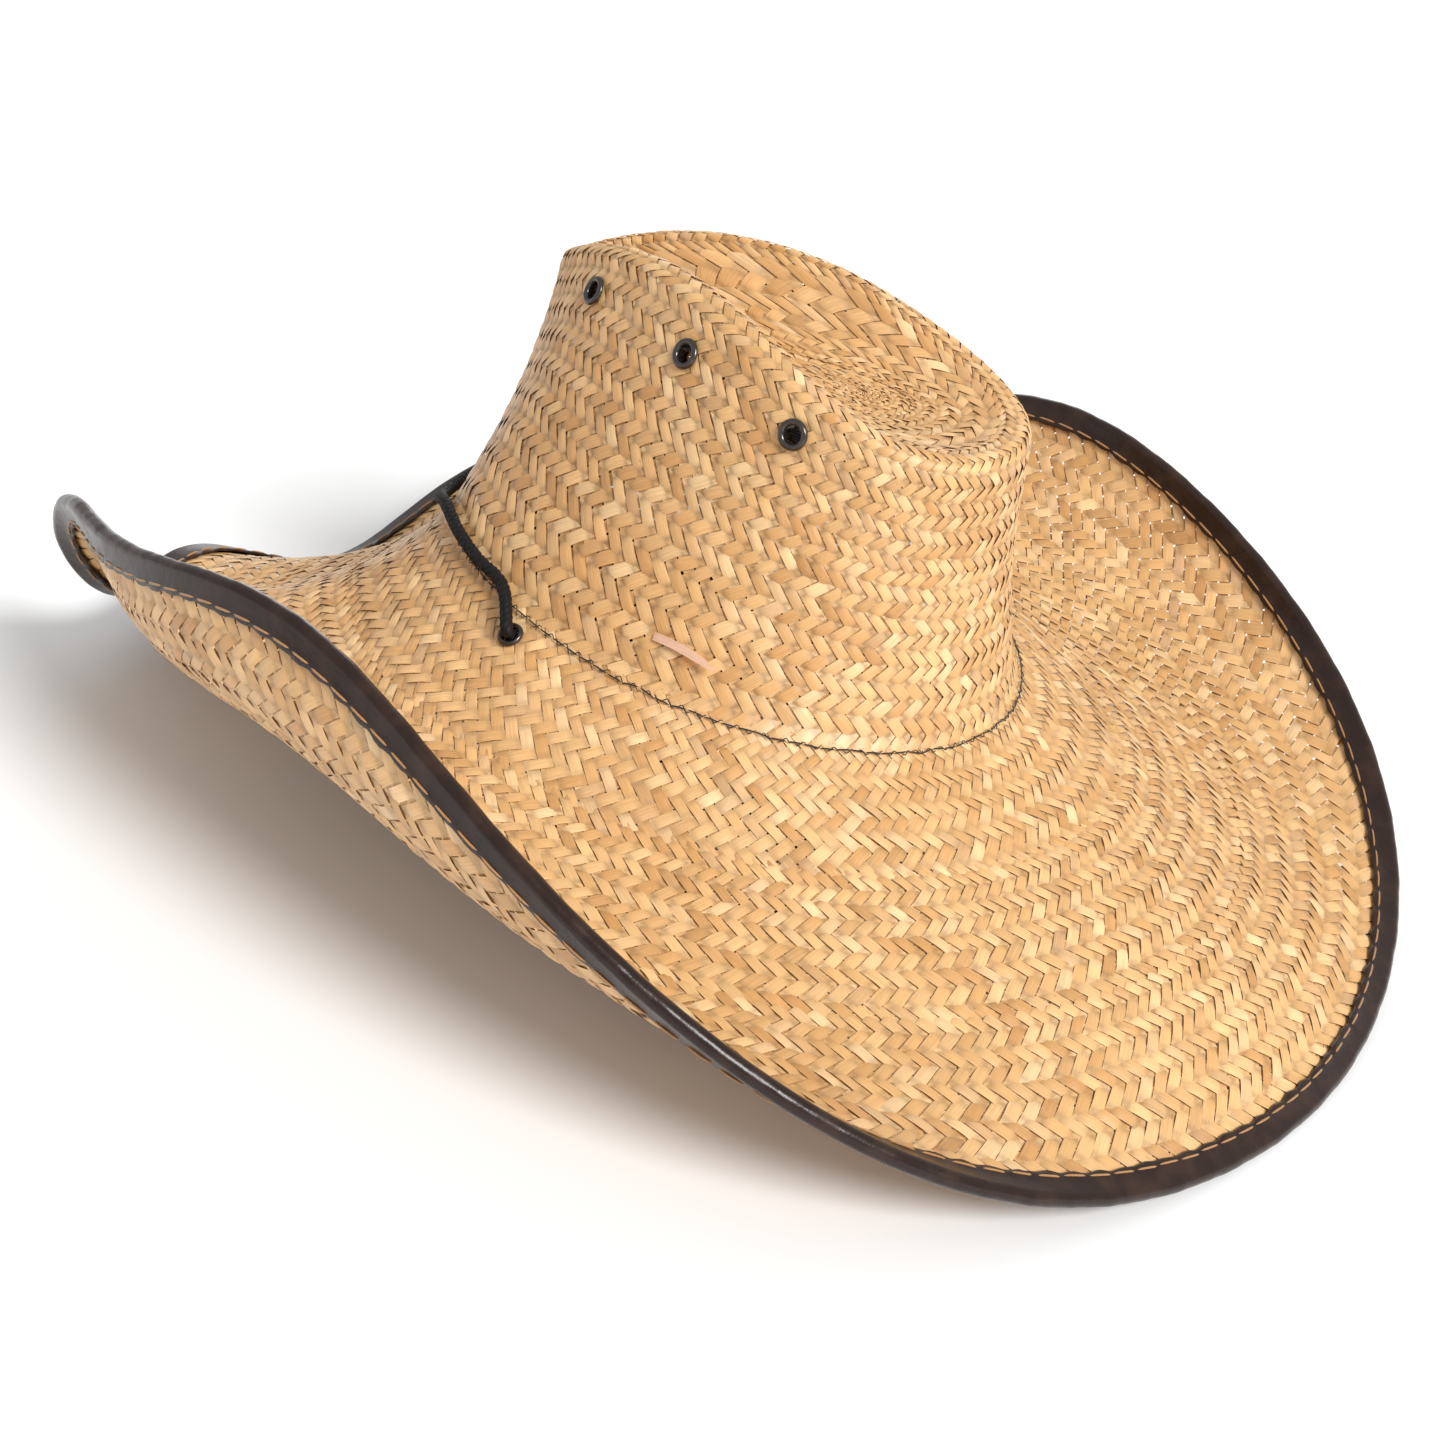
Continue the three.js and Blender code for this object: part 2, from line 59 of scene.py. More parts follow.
RIM_HALF_WIDTH, RIM_HALF_LENGTH, RIM_CENTRE_Y = 69.5, 92.4, 1.7
PINCH, PINCH_REACH = 0.79, 0.73
RIM_HEIGHT = (93.9, 5.1, -9.4, -2.9)
RIM_BEND, BASE_BEND, WALL_BULGE = 9, 6, -3.3
RIM_DROP = 0.15
HOLLOW = np.array([-6.0, 34.0, 78.0])
HOLLOW_SHARPNESS = 2.7
STRAW = 2.0
BEAD_REACH, TAPE_DEPTH = 4.0, 6.2
SEAM_FROM_EDGE = 4.6
VENTS = (("front", 52.5, 0.82), ("mid", 87.5, 0.83), ("rear", 118, 0.85))
CORD_EYELET_PHI, CORD_EYELET_OUT = 82, 9
CORD_RADIUS, CORD_CLEAR = 2.1, 1.2
MIDDLE_X = 11.99
STAND = Matrix.Translation((MIDDLE_X, -19.19, 86.42)) @ Matrix.Rotation(-0.00654, 4, "X")
STAND_TURN = np.array(STAND.to_3x3())
STAND_SHIFT = np.array(STAND.translation)

# ---- camera
VIEW_AZIMUTH, VIEW_ELEVATION, VIEW_ROLL = 124.02, 28.82, 10.2
LOOK_AT = (0.02126, -0.00562, 0.03652)
VIEW_DISTANCE = 0.9
LENS = 65.75


def add_camera():
    az, el = math.radians(VIEW_AZIMUTH), math.radians(VIEW_ELEVATION)
    back = Vector((math.sin(az) * math.cos(el), -math.cos(az) * math.cos(el), math.sin(el)))
    right = Vector((math.cos(az), math.sin(az), 0))
    up = back.cross(right)
    turn = Matrix((right, up, back)).transposed().to_4x4()
    camera = bpy.data.objects.new("camera", bpy.data.cameras.new("camera"))
    camera.data.lens = LENS
    camera.data.sensor_width = 36
    camera.data.clip_start = 0.01
    roll = Matrix.Rotation(math.radians(VIEW_ROLL), 4, "Z")
    camera.matrix_world = Matrix.Translation(Vector(LOOK_AT) + back * VIEW_DISTANCE) @ turn @ roll
    bpy.context.collection.objects.link(camera)
    bpy.context.scene.camera = camera


# ---- small tools for arrays of points: the last axis is x, y, z

def unit(v):
    return v / np.maximum(np.linalg.norm(v, axis=-1, keepdims=True), 1e-9)


def stand(points):
    """Points of the hat's own frame, in millimetres, to the row frame, in metres."""
    return (points @ STAND_TURN.T + STAND_SHIFT) * MM


def stand_direction(v):
    return v @ STAND_TURN.T


def smooth_noise(x, scale, seed, octaves=3):
    """A wandering value of about -1 to 1 along x."""
    random = np.random.default_rng(seed)
    total = np.zeros_like(np.asarray(x, float))
    for k in range(octaves):
        step = scale / 1.9 ** k
        total += np.sin(np.asarray(x) * TAU / step + random.uniform(0, TAU)) / (k + 1)
    return total / 1.6


def quads_of_grid(rows, columns, close_rows=False, close_columns=False):
    """Faces of a grid of points numbered row by row."""
    r = np.arange(rows if close_rows else rows - 1)
    c = np.arange(columns if close_columns else columns - 1)
    r, c = np.meshgrid(r, c, indexing="ij")
    r2, c2 = (r + 1) % rows, (c + 1) % columns
    faces = np.stack([r * columns + c, r2 * columns + c, r2 * columns + c2, r * columns + c2], -1)
    return faces.reshape(-1, 4)


def add_mesh(name, points, faces, material, body="hat", replaces=(), smooth=True):
    mesh = bpy.data.meshes.new(name)
    points = np.asarray(points, float).reshape(-1, 3)
    faces = np.asarray(faces, int)
    mesh.vertices.add(len(points))
    mesh.vertices.foreach_set("co", points.ravel())
    mesh.loops.add(faces.size)
    mesh.loops.foreach_set("vertex_index", faces.ravel())
    mesh.polygons.add(len(faces))
    mesh.polygons.foreach_set("loop_start", np.arange(0, faces.size, faces.shape[1]))
    mesh.polygons.foreach_set("use_smooth", np.full(len(faces), smooth))
    mesh.update(calc_edges=True)
    mesh.validate()
    mesh.materials.append(material)
    piece = bpy.data.objects.new(name, mesh)
    bpy.context.collection.objects.link(piece)
    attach(piece, body)
    if replaces:
        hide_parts(*replaces)
    return piece


def paint(piece, name, values, kind="FLOAT_VECTOR"):
    """Stores one value a vertex for the material: three numbers, or a colour."""
    values = np.asarray(values, float).reshape(len(piece.data.vertices), 3)
    attribute = piece.data.attributes.new(name, kind, "POINT")
    if kind == "FLOAT_COLOR":
        values = np.concatenate([values, np.ones((len(values), 1))], 1)
        attribute.data.foreach_set("color", values.ravel())
    else:
        attribute.data.foreach_set("vector", values.ravel())


# ---- the hat's upper surface

def series(coefficients, phi):
    return sum(c * np.cos(k * phi) for k, c in enumerate(coefficients))


def near(phi, at, reach):
    """1 at a place round the hat, in degrees, fading to nothing within about twice its reach."""
    away = (np.degrees(phi) - at + 180) % 360 - 180
    return np.exp(-(away / reach) ** 2)


def front_dip(phi):
    """How far the foot of the crown dips below its plain tilt, across the front."""
    edge = math.cos(math.radians(FRONT_DIP_REACH))
    t = np.clip((np.cos(phi) - edge) / (1 - edge), 0, 1)
    return FRONT_DIP * t * t * (3 - 2 * t)


def base_at(phi):
    z = BASE_RISE * np.cos(phi) - front_dip(phi)
    return np.stack([BASE_HALF_WIDTH * np.sin(phi), -BASE_HALF_LENGTH * np.cos(phi), z], -1)


def rim_at(phi):
    front = (1 + np.cos(phi)) / 2
    width = RIM_HALF_WIDTH * (1 - PINCH * front ** PINCH_REACH)
    y = RIM_CENTRE_Y - RIM_HALF_LENGTH * np.cos(phi)
    return np.stack([width * np.sin(phi), y, series(RIM_HEIGHT, phi)], -1)


def brim_lines(phi, steps):
    """For each phi, points from the crown out to the straw's edge at even distances, and the distance."""
    s, c = np.sin(phi), np.cos(phi)
    along = (BRIM_FRONT + BRIM_BACK) / 2 + (BRIM_FRONT - BRIM_BACK) / 2 * c
    out = np.stack([BRIM_SIDE * s, -along * c, np.zeros_like(phi)], -1)
    full = np.linalg.norm(out, axis=-1)
    out = unit(out)
    slope0 = series(SLOPE_AT_CROWN, phi)
    slope1 = series(SLOPE_AT_EDGE, phi) + LEFT_CURL_EXTRA * s + FRONT_LEFT_CURL_EXTRA * s * c
    slope1 += TIP_SLOPE * near(phi, TIP_AT, TIP_REACH) + DIP_SLOPE * near(phi, DIP_AT, DIP_REACH)
    d = series(CURL_DELAY, phi) - CURL_DELAY_LEAST
    delay = CURL_DELAY_LEAST + (d + np.sqrt(d * d + CURL_DELAY_ROUNDING)) / 2
    delay += TIP_DELAY * near(phi, TIP_AT, TIP_REACH)
    step = (full - BEAD_REACH) / steps
    share = np.arange(steps + 1)[None, :] * (step / full)[:, None]
    slope = slope0[:, None] + (slope1 - slope0)[:, None] * share ** delay[:, None]
    run = (np.cos(slope[:, :-1]) + np.cos(slope[:, 1:])) / 2 * step[:, None]
    climb = (np.sin(slope[:, :-1]) + np.sin(slope[:, 1:])) / 2 * step[:, None]
    run = np.concatenate([np.zeros((len(phi), 1)), np.cumsum(run, 1)], 1)
    climb = np.concatenate([np.zeros((len(phi), 1)), np.cumsum(climb, 1)], 1)
    points = base_at(phi)[:, None, :] + out[:, None, :] * run[..., None]
    points[..., 2] += climb + front_dip(phi)[:, None] * (1 - (1 - share) ** 2)
    return points, step


def wall_at(phi, v):
    p = base_at(phi) + (rim_at(phi) - base_at(phi)) * v
    out = np.stack([np.sin(phi), -np.cos(phi), np.zeros_like(phi)], -1)
    return p + out * WALL_BULGE * np.sin(math.pi * v)


def top_at(phi, w):
    rim = rim_at(phi)
    aim = np.stack([np.full_like(phi, HOLLOW[0]), np.full_like(phi, HOLLOW[1]), rim[:, 2]], -1)
    inner = rim + unit(aim - rim) * RIM_BEND
    inner[:, 2] -= RIM_DROP * RIM_BEND
    p = HOLLOW + (inner - HOLLOW) * w
    p[:, 2] = HOLLOW[2] + (inner[:, 2] - HOLLOW[2]) * w ** HOLLOW_SHARPNESS
    return p


def bend(a, b, c, t):
    return a * (1 - t) ** 2 + b * 2 * t * (1 - t) + c * t * t


AROUND = 720
TOP_ROWS, RIM_ROWS, WALL_ROWS, BASE_ROWS, BRIM_ROWS = 48, 12, 48, 9, 84
PHI = np.arange(AROUND) * TAU / AROUND


def hat_rows():
    """The surface as rows of points round the hat, from the hollow's middle to the straw's edge."""
    rim, base = rim_at(PHI), base_at(PHI)
    height = np.linalg.norm(rim - base, axis=-1)[:, None]
    upper, lower = 1 - RIM_BEND / height, BASE_BEND / height
    brim, step = brim_lines(PHI, BRIM_STEPS)
    start = BASE_BEND / step / BRIM_STEPS
    pick = np.arange(AROUND)

    def brim_at(share):
        x = np.clip(share, 0, 1) * BRIM_STEPS
        i = np.minimum(x.astype(int), BRIM_STEPS - 1)
        f = (x - i)[:, None]
        return brim[pick, i] * (1 - f) + brim[pick, i + 1] * f

    rows = [top_at(PHI, i / TOP_ROWS) for i in range(TOP_ROWS)]
    rows += [bend(top_at(PHI, 1), rim, wall_at(PHI, upper), i / RIM_ROWS) for i in range(RIM_ROWS)]
    rows += [wall_at(PHI, upper + (lower - upper) * i / WALL_ROWS) for i in range(WALL_ROWS)]
    rows += [bend(wall_at(PHI, lower), base, brim_at(start), i / BASE_ROWS) for i in range(BASE_ROWS)]
    rows += [brim_at(start + (1 - start) * i / BRIM_ROWS) for i in range(BRIM_ROWS + 1)]
    return np.stack(rows)


ROWS = hat_rows()
LAST = len(ROWS) - 1
ROW_RIM = TOP_ROWS
ROW_WALL = TOP_ROWS + RIM_ROWS
ROW_BASE = ROW_WALL + WALL_ROWS
ROW_BRIM = ROW_BASE + BASE_ROWS
ALONG = np.gradient(ROWS, axis=0)
NORMALS = unit(np.cross(ALONG, np.roll(ROWS, -1, 1) - np.roll(ROWS, 1, 1)))
NORMALS[0] = (0, 0, 1)
ROW_STEP = np.linalg.norm(np.diff(ROWS, axis=0), axis=-1)
ROW_GIRTH = np.linalg.norm(np.roll(ROWS, -1, 1) - ROWS, axis=-1).sum(1)


def look_up(table, phi, row):
    """A value of the surface's table between its own points."""
    x = (phi / TAU * AROUND) % AROUND
    i = x.astype(int) % AROUND
    fx = (x - np.floor(x))[..., None]
    y = np.clip(row, 0, LAST)
    j = np.minimum(y.astype(int), LAST - 1)
    fy = (y - j)[..., None]
    i2 = (i + 1) % AROUND
    low = table[j, i] * (1 - fx) + table[j, i2] * fx
    high = table[j + 1, i] * (1 - fx) + table[j + 1, i2] * fx
    return low * (1 - fy) + high * fy


def surface(phi, row, height):
    """Points of the hat's own frame that are height above the upper surface."""
    phi, row, height = np.broadcast_arrays(phi, row, height)
    normal = unit(look_up(NORMALS, phi, row))
    return look_up(ROWS, phi, row) + normal * height[..., None]


def frame_at(phi, row):
    """One point of the upper surface with its normal and its direction away from the hollow."""
    phi, row = np.array([phi]), np.array([row])
    p, n = look_up(ROWS, phi, row)[0], unit(look_up(NORMALS, phi, row))[0]
    e = look_up(ALONG, phi, row)[0]
    return p, n, unit(e - n * (e @ n))


def wall_row(phi, share):
    height = np.linalg.norm(rim_at(np.array([phi])) - base_at(np.array([phi])))
    upper, lower = 1 - RIM_BEND / height, BASE_BEND / height
    return ROW_WALL + (upper - share) / (upper - lower) * WALL_ROWS


def brim_row(phi, out):
    """The row at a distance from the crown along the brim."""
    step = ROW_STEP[ROW_BRIM:, int(phi / TAU * AROUND) % AROUND].mean()
    return ROW_BRIM + (out - BASE_BEND) / step


# ---- materials

class Nodes:
    """A node tree being built: add(kind, settings) makes a node, link joins two sockets."""

    def __init__(self, name):
        self.material = bpy.data.materials.new(name)
        self.material.use_nodes = True
        self.tree = self.material.node_tree
        self.shader = self.tree.nodes["Principled BSDF"]

    def add(self, kind, **values):
        node = self.tree.nodes.new(kind)
        for key, value in values.items():
            if key in node.inputs:
                node.inputs[key].default_value = value
            else:
                setattr(node, key.lower(), value)
        return node

    def link(self, source, target):
        self.tree.links.new(source, target)

    def attribute(self, name, socket="Vector"):
        return self.add("ShaderNodeAttribute", Attribute_Name=name).outputs[socket]

    def noise(self, vector, scale, stretch=(1, 1, 1), detail=3.0):
        mapping = self.add("ShaderNodeMapping", Scale=stretch)
        self.link(vector, mapping.inputs["Vector"])
        node = self.add("ShaderNodeTexNoise", Scale=scale, Detail=detail)
        self.link(mapping.outputs["Vector"], node.inputs["Vector"])
        return node.outputs["Fac"]

    def span(self, value, low, high, to_low, to_high):
        node = self.add("ShaderNodeMapRange")
        for index, number in enumerate((low, high, to_low, to_high), start=1):
            node.inputs[index].default_value = number
        self.link(value, node.inputs[0])
        return node.outputs[0]

    def mix(self, factor, a, b, blend="MIX"):
        node = self.add("ShaderNodeMix", Data_Type="RGBA", Blend_Type=blend)
        for socket, value in ((node.inputs[0], factor), (node.inputs[6], a), (node.inputs[7], b)):
            if isinstance(value, (int, float, tuple)):
                socket.default_value = value
            else:
                self.link(value, socket)
        return node.outputs[2]

    def maths(self, operation, a, b):
        node = self.add("ShaderNodeMath", Operation=operation)
        for socket, value in zip(node.inputs, (a, b)):
            if isinstance(value, (int, float)):
                socket.default_value = value
            else:
                self.link(value, socket)
        return node.outputs[0]

    def bump(self, height, strength, distance):
        node = self.add("ShaderNodeBump", Strength=strength, Distance=distance)
        self.link(height, node.inputs["Height"])
        self.link(node.outputs["Normal"], self.shader.inputs["Normal"])

    def settle(self, **values):
        for key, value in values.items():
            self.shader.inputs[key.replace("_", " ")].default_value = value
        return self.material

    def position(self):
        return self.add("ShaderNodeTexCoord").outputs["Object"]


def straw_material():
    """Palm strip: its own tint darkened by painted shade where it dives under others, fibres along it, paler
    and darker stretches, brown flecks, a satin skin.
    """
    m = Nodes("palm_straw")
    fibre = m.attribute("fibre")
    # Each strip's own colour, with painted shade where the strip dives under the others.
    tint_and_shade = m.attribute("tint_and_shade", "Color")
    streak = m.noise(fibre, 1.0, (0.10, 4.2, 1.0), 4.0)
    fine = m.noise(fibre, 1.0, (0.35, 13.0, 1.0), 2.0)
    blotch = m.noise(fibre, 1.0, (0.09, 0.35, 1.0), 2.0)
    light = m.span(streak, 0.3, 0.7, 0.84, 1.10)
    lit = m.mix(1.0, tint_and_shade, light, "MULTIPLY")
    lit = m.mix(m.span(blotch, 0.52, 0.78, 0.0, 0.36), lit, (0.58, 0.29, 0.09, 1))
    lit = m.mix(m.span(fine, 0.57, 0.72, 0.0, 0.30), lit, (0.90, 0.72, 0.44, 1))
    fleck = m.noise(fibre, 1.0, (0.55, 1.3, 3.0), 1.0)
    lit = m.mix(m.span(fleck, 0.77, 0.84, 0.0, 0.7), lit, (0.16, 0.07, 0.03, 1))
    m.link(lit, m.shader.inputs["Base Color"])
    m.link(m.span(streak, 0.3, 0.7, 0.32, 0.50), m.shader.inputs["Roughness"])
    m.bump(m.maths("ADD", streak, m.maths("MULTIPLY", fine, 0.5)), 0.55, 0.00012)
    return m.settle(Specular_IOR_Level=0.6)


def vinyl_material():
    """Dark brown vinyl tape: glossy, with a fine creased grain and worn paler streaks."""
    m = Nodes("brown_vinyl")
    place = m.position()
    grain = m.noise(place, 900.0, (1, 1, 1), 3.0)
    crease = m.noise(place, 110.0, (1, 1, 1), 4.0)
    deep, worn = (0.018, 0.0075, 0.0045, 1), (0.055, 0.024, 0.014, 1)
    colour = m.mix(m.span(crease, 0.45, 0.75, 0.0, 0.55), deep, worn)
    m.link(colour, m.shader.inputs["Base Color"])
    m.link(m.span(crease, 0.3, 0.7, 0.20, 0.36), m.shader.inputs["Roughness"])
    m.bump(m.maths("ADD", crease, m.maths("MULTIPLY", grain, 0.2)), 0.5, 0.0006)
    return m.settle(Specular_IOR_Level=0.30, Coat_Weight=0.12, Coat_Roughness=0.12)


def thread_material(name, colour, twist=5200.0, sheen=0.25):
    """Sewing thread or braid: fine twisted fibres."""
    m = Nodes(name)
    place = m.position()
    twill = m.noise(place, twist, (1, 1, 1), 2.0)
    dark = tuple(0.55 * c for c in colour) + (1,)
    m.link(m.mix(m.span(twill, 0.35, 0.65, 0.0, 1.0), dark, colour + (1,)), m.shader.inputs["Base Color"])
    m.bump(twill, 0.6, 0.0001)
    return m.settle(Roughness=0.55, Sheen_Weight=sheen, Specular_IOR_Level=0.25)


def metal_material(name, colour, roughness):
    """Enamelled or drawn metal with a slightly uneven polish."""
    m = Nodes(name)
    wear = m.noise(m.position(), 700.0, (1, 1, 1), 3.0)
    m.link(m.mix(m.span(wear, 0.55, 0.8, 0.0, 0.5), colour + (1,), (0.16, 0.15, 0.14, 1)),
           m.shader.inputs["Base Color"])
    m.link(m.span(wear, 0.3, 0.7, roughness * 0.8, roughness * 1.3), m.shader.inputs["Roughness"])
    return m.settle(Metallic=0.85)


def band_material():
    """Black elastic sweatband: fine ribs round the head."""
    m = Nodes("elastic_band")
    rib = m.add("ShaderNodeTexWave", Bands_Direction="Z", Scale=210.0, Distortion=0.4)
    m.link(m.position(), rib.inputs["Vector"])
    colour = m.mix(rib.outputs["Fac"], (0.010, 0.009, 0.008, 1), (0.032, 0.029, 0.026, 1))
    m.link(colour, m.shader.inputs["Base Color"])
    m.bump(rib.outputs["Fac"], 0.7, 0.0004)
    return m.settle(Roughness=0.8, Sheen_Weight=0.3)


def bead_material():
    """Dark stained wood with grain along the cord."""
    m = Nodes("stained_bead")
    grain = m.noise(m.position(), 260.0, (5, 0.6, 5), 4.0)
    colour = m.mix(m.span(grain, 0.35, 0.65, 0.0, 1.0), (0.030, 0.014, 0.007, 1), (0.12, 0.06, 0.03, 1))
    m.link(colour, m.shader.inputs["Base Color"])
    m.bump(grain, 0.3, 0.0002)
    return m.settle(Roughness=0.38, Coat_Weight=0.3)


def floor_material():
    m = Nodes("pale_floor")
    return m.settle(Base_Color=(0.90, 0.90, 0.90, 1), Roughness=0.7)


MATERIALS = {
    "straw": straw_material(),
    "binding": vinyl_material(),
    "tan_thread": thread_material("tan_thread", (0.50, 0.25, 0.09)),
    "black_thread": thread_material("black_thread", (0.020, 0.017, 0.014)),
    "cord": thread_material("black_cord", (0.010, 0.009, 0.009), 2600.0, 0.0),
    "black_metal": metal_material("black_enamel", (0.085, 0.075, 0.070), 0.24),
    "wire": metal_material("wire_steel", (0.42, 0.42, 0.44), 0.35),
    "band": band_material(),
    "bead": bead_material(),
}

# ---- eyelet places

def eyelet_frames():
    frames = {}
    for side, sign in (("left", 1), ("right", -1)):
        for name, degrees, share in VENTS:
            phi = sign * math.radians(degrees)
            frames[f"{side}_{name}"] = frame_at(phi, wall_row(phi, share))
        phi = sign * math.radians(CORD_EYELET_PHI)
        frames[f"cord_{side}"] = frame_at(phi, brim_row(phi, CORD_EYELET_OUT))
    return frames


EYELETS = eyelet_frames()
VENT_HOLE, VENT_FLANGE = 2.8, 5.0
CORD_HOLE, CORD_FLANGE = 2.5, 4.3
EYELET_WALL = 0.5
EYELET_ROOM, EYELET_DEPTH = 0.6, 8
WASHER_TOP, WASHER_BOTTOM = -2.7, -3.2


# ---- plaited straw

PALETTE = np.array([
    (0.76, 0.465, 0.205), (0.68, 0.390, 0.155), (0.60, 0.320, 0.112), (0.82, 0.550, 0.285),
    (0.64, 0.355, 0.138), (0.54, 0.270, 0.088), (0.72, 0.430, 0.185), (0.58, 0.350, 0.170),
])
PALETTE_SHARES = (0.20, 0.19, 0.13, 0.12, 0.14, 0.08, 0.10, 0.04)
# Millimetres, apart from the power: a strip's rise and dip, its rounding across, how unevenly it lies.
WEAVE_DEPTH = 0.50
STRIP_CAMBER, CAMBER_POWER = 0.22, 2.4
STRAY_LIFT, STRAY_LEAN = 0.055, 0.10
# Widths as a share of the strips' pitch, and how far a zone's tucked ends reach, in pitches.
STRIP_WIDTHS = (0.83, 0.97)
TUCK_REACH = 1.2
# How level a strip stays over the others, and how much painted shade darkens it where it dives under them.
FLOAT_FLATNESS = 1.5
DIVE_SHADE = 0.42


def lattice_rows(first, last, strips):
    """Rows of the surface and how many strip pitches each lies from the first."""
    rows = np.arange(math.floor(first), math.ceil(last) + 1)
    rows = rows[(rows >= 0) & (rows <= LAST)]
    between = rows[:-1]
    girth = (ROW_GIRTH[between] + ROW_GIRTH[between + 1]) / 2
    pitch = np.maximum(girth, 40) / strips
    distance = ROW_STEP[between].mean(1)
    return rows, np.concatenate([[0], np.cumsum(distance / pitch)])


def plait(name, strips, first, last, phase, along_steps, across_steps, tuck):
    """A 2/2 twill of strips leaning both ways: each lies over two and under two, in rows round the hat."""
    rows, pitches = lattice_rows(first, last, strips)
    start, end = np.interp([first, last], rows, pitches)
    centre = np.arange(start, end + 0.5 / along_steps, 0.5 / along_steps)
    across = np.linspace(-0.5, 0.5, across_steps + 1)
    over = np.tanh(FLOAT_FLATNESS * np.cos(math.pi / 2 * (2 * centre + phase)))
    over = over / math.tanh(FLOAT_FLATNESS)
    tucked = tuck[0] * np.clip(1 - (centre - start) / TUCK_REACH, 0, 1)
    tucked = tucked + tuck[1] * np.clip(1 - (end - centre) / TUCK_REACH, 0, 1)
    for family, sign in (("a", 1), ("b", -1)):
        number = np.arange(strips)[:, None, None]
        yc = centre[None, :, None]
        width = rng.uniform(*STRIP_WIDTHS, (strips, 1, 1))
        stray = rng.uniform(0, TAU, (strips, 1, 1))
        wander = 0.035 * np.sin(yc * 1.7 + stray) + 0.02 * np.sin(yc * 4.3 + 2 * stray)
        d = across[None, None, :] * width + wander
        x = number - sign * yc + sign * d / 2
        y = np.broadcast_to(yc + d / 2, x.shape)
        floats = np.floor((2 * centre + phase + 1) / 2).astype(int)
        floats -= floats.min()
        lift = rng.normal(0, STRAY_LIFT, (strips, floats.max() + 1))[:, floats]
        lean = rng.normal(0, STRAY_LEAN, (strips, floats.max() + 1))[:, floats]
        height = -STRAW / 2 + sign * over[None, :] * WEAVE_DEPTH + lift - tucked[None, :]
        height = height[..., None] + lean[..., None] * across[None, None, :] * 2
        outer_side = np.sign(height + STRAW / 2)
        height = height - STRIP_CAMBER * np.abs(2 * across[None, None, :]) ** CAMBER_POWER * outer_side
        row = np.interp(y, pitches, rows)
        phi = x * TAU / strips
        points = surface(phi, row, height)
        faces = strip_faces(strips, len(centre), across_steps + 1)
        faces = faces[clear_of_eyelets(points.reshape(-1, 3), faces)]
        piece = add_mesh(f"straw_{name}_{family}", stand(points), faces, MATERIALS["straw"],
                         replaces=("straw_body",))
        # Painted shade: a strip's colour darkens where it dives under the other strips, standing in for the
        # shadow there.
        shade = 1 - DIVE_SHADE * np.clip(1 - np.abs(over), 0, 1) ** 1.5
        shaded_tints = strip_tints(strips, floats, len(across)) * shade[None, :, None, None]
        paint(piece, "tint_and_shade", shaded_tints, "FLOAT_COLOR")
        pitch_mm = ROW_GIRTH[int((first + last) / 2)] / strips
        length = np.broadcast_to(yc * pitch_mm * math.sqrt(2), x.shape)
        side = np.broadcast_to(across[None, None, :] * pitch_mm / math.sqrt(2), x.shape)
        own = np.broadcast_to(number * 17.3 + (0 if sign > 0 else 5.7), x.shape)
        paint(piece, "fibre", np.stack([length, side, own], -1))


def strip_faces(strips, along, across):
    one = quads_of_grid(along, across)
    return (one[None] + (np.arange(strips) * along * across)[:, None, None]).reshape(-1, 4)


def clear_of_eyelets(points, faces):
    middle = points[faces].mean(1)
    keep = np.ones(len(faces), bool)
    for name, (p, n, _) in EYELETS.items():
        hole = CORD_HOLE if name.startswith("cord") else VENT_HOLE
        away = middle - p
        height = away @ n
        outside = np.linalg.norm(away - height[:, None] * n, axis=1) > hole + EYELET_ROOM
        keep &= outside | (np.abs(height) > EYELET_DEPTH)
    return keep


def strip_tints(strips, floats, across):
    """Each strip has its own tint, and each stretch that shows differs a little again."""
    base = PALETTE[rng.choice(len(PALETTE), strips, p=PALETTE_SHARES)]
    other = PALETTE[rng.choice(len(PALETTE), (strips, floats.max() + 1), p=PALETTE_SHARES)]
    share = rng.uniform(0.05, 0.75, (strips, floats.max() + 1, 1))
    colour = base[:, None, :] * (1 - share) + other * share
    colour = colour * rng.normal(1.0, 0.055, (strips, floats.max() + 1, 1))
    return np.repeat(colour[:, floats, None, :], across, axis=2).clip(0, 1)


ZONES = (
    # name, strips round the hat, first row, last row, phase, tuck at the start and end
    ("centre", 26, 1.0, 0.36 * TOP_ROWS, 0.0, (0.0, 0.5)),
    ("hollow", 46, 0.33 * TOP_ROWS, ROW_RIM - 3, 1.0, (0.0, 0.0)),
    ("wall", 92, ROW_RIM - 5, ROW_BASE + 5, 0.0, (0.5, 0.3)),
    ("brim_inner", 138, ROW_BASE + 3, ROW_BRIM + 0.27 * BRIM_ROWS, 0.5, (0.4, 0.4)),
    ("brim_middle", 176, ROW_BRIM + 0.26 * BRIM_ROWS, ROW_BRIM + 0.61 * BRIM_ROWS, 0.0, (0.0, 0.4)),
    ("brim_outer", 212, ROW_BRIM + 0.60 * BRIM_ROWS, LAST, 1.0, (0.0, 0.0)),
)


def plait_hat():
    """The wide strips of the crown get finer meshes than the narrow ones of the brim."""
    for name, strips, first, last, phase, tuck in ZONES:
        steps = 4 if strips < 100 else 3
        plait(name, strips, first, last, phase, steps, steps, tuck)


# ---- edge binding and its seam

